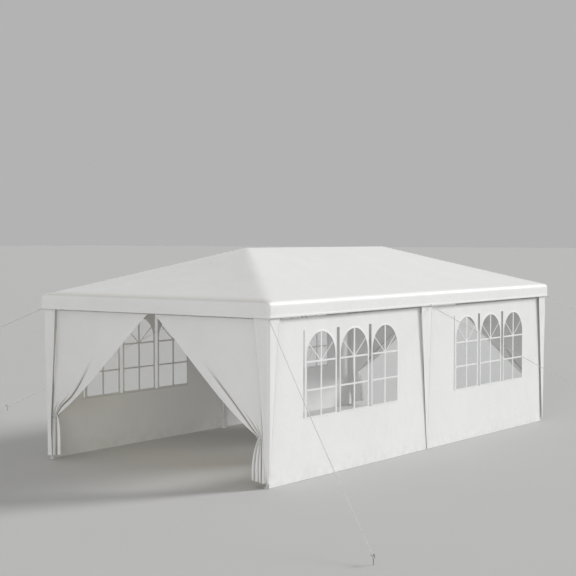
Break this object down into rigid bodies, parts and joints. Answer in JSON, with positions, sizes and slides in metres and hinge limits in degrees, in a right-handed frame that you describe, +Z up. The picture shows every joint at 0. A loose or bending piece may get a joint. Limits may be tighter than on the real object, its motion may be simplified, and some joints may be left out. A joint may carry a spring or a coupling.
{
  "type": "party tent",
  "caption": "White party tent on a steel tube frame, with a hipped canopy, arched window walls, tied-back door curtains at both ends, and guy ropes with stakes.",
  "frame": {"origin": "on the ground, under the middle of the ridge", "axes": "+X along the ridge and the long sides, +Z up; the door end that faces the camera is at -X and the sunny long side at -Y"},
  "size_m": [10.34, 10.0492, 2.33],
  "materials": {
    "white_polyethylene": "satin woven polyethylene",
    "clear_film": "glossy clear film",
    "white_painted_steel": "satin powder coat",
    "white_rope": "matt braided cord",
    "zinc_steel": "zinc plated wire"
  },
  "bodies": {
    "root": {"eave_rail_front_left": "white_painted_steel", "eave_rail_front_right": "white_painted_steel", "eave_rail_left_end": "white_painted_steel", "eave_rail_rear_left": "white_painted_steel", "eave_rail_rear_right": "white_painted_steel", "eave_rail_right_end": "white_painted_steel", "hip_rafter_front_left": "white_painted_steel", "hip_rafter_front_right": "white_painted_steel", "hip_rafter_rear_left": "white_painted_steel", "hip_rafter_rear_right": "white_painted_steel", "leg_front_left": "white_painted_steel", "leg_front_middle": "white_painted_steel", "leg_front_right": "white_painted_steel", "leg_rear_left": "white_painted_steel", "leg_rear_middle": "white_painted_steel", "leg_rear_right": "white_painted_steel", "middle_rafter_front": "white_painted_steel", "middle_rafter_rear": "white_painted_steel", "ridge_pole": "white_painted_steel", "canopy_front_panel": "white_polyethylene", "canopy_left_panel": "white_polyethylene", "canopy_rear_panel": "white_polyethylene", "canopy_right_panel": "white_polyethylene", "door_curtain_left_front": "white_polyethylene", "door_curtain_left_rear": "white_polyethylene", "door_curtain_right_front": "white_polyethylene", "door_curtain_right_rear": "white_polyethylene", "leg_cover_front_left": "white_polyethylene", "leg_cover_front_middle": "white_polyethylene", "leg_cover_front_right": "white_polyethylene", "leg_cover_rear_left": "white_polyethylene", "leg_cover_rear_middle": "white_polyethylene", "leg_cover_rear_right": "white_polyethylene", "wall_front_left": "white_polyethylene", "wall_front_right": "white_polyethylene", "wall_rear_left": "white_polyethylene", "wall_rear_right": "white_polyethylene", "window_film_front_left": "clear_film", "window_film_front_right": "clear_film", "window_film_rear_left": "clear_film", "window_film_rear_right": "clear_film", "guy_rope_front_left": "white_rope", "guy_rope_front_middle": "white_rope", "guy_rope_front_right": "white_rope", "guy_rope_rear_left": "white_rope", "guy_rope_rear_middle": "white_rope", "guy_rope_rear_right": "white_rope", "stake_front_left": "zinc_steel", "stake_front_middle": "zinc_steel", "stake_front_right": "zinc_steel", "stake_rear_left": "zinc_steel", "stake_rear_middle": "zinc_steel", "stake_rear_right": "zinc_steel"}
  },
  "joints": []
}
